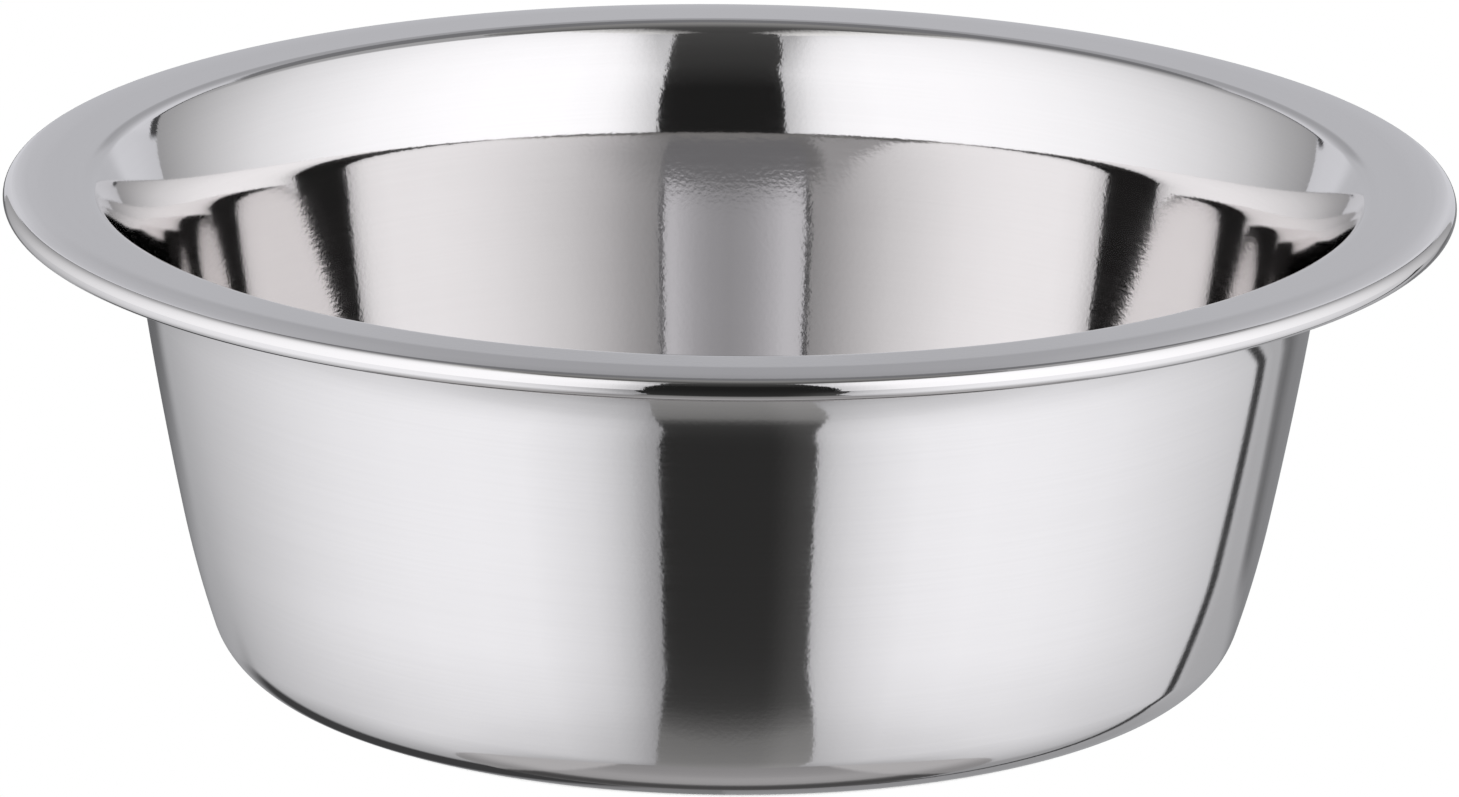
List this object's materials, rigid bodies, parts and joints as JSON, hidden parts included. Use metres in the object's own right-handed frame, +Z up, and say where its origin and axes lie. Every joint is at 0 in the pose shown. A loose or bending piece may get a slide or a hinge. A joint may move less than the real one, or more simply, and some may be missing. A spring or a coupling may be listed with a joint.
{
  "type": "pet bowl",
  "caption": "Round stainless steel bowl for a pet's food or water, with a flat base, a curved wall, a flared mouth and a wide flat rim with a rolled edge.",
  "frame": {"origin": "centre of the flat base, on the surface that the bowl stands on", "axes": "+Z up along the bowl's axis; the bowl is round, so X and Y are alike, and -Y is towards the picture's camera"},
  "size_m": [0.25, 0.25, 0.086],
  "materials": {
    "steel": "mirror polished"
  },
  "bodies": {
    "root": {"bowl": "steel"}
  },
  "joints": []
}
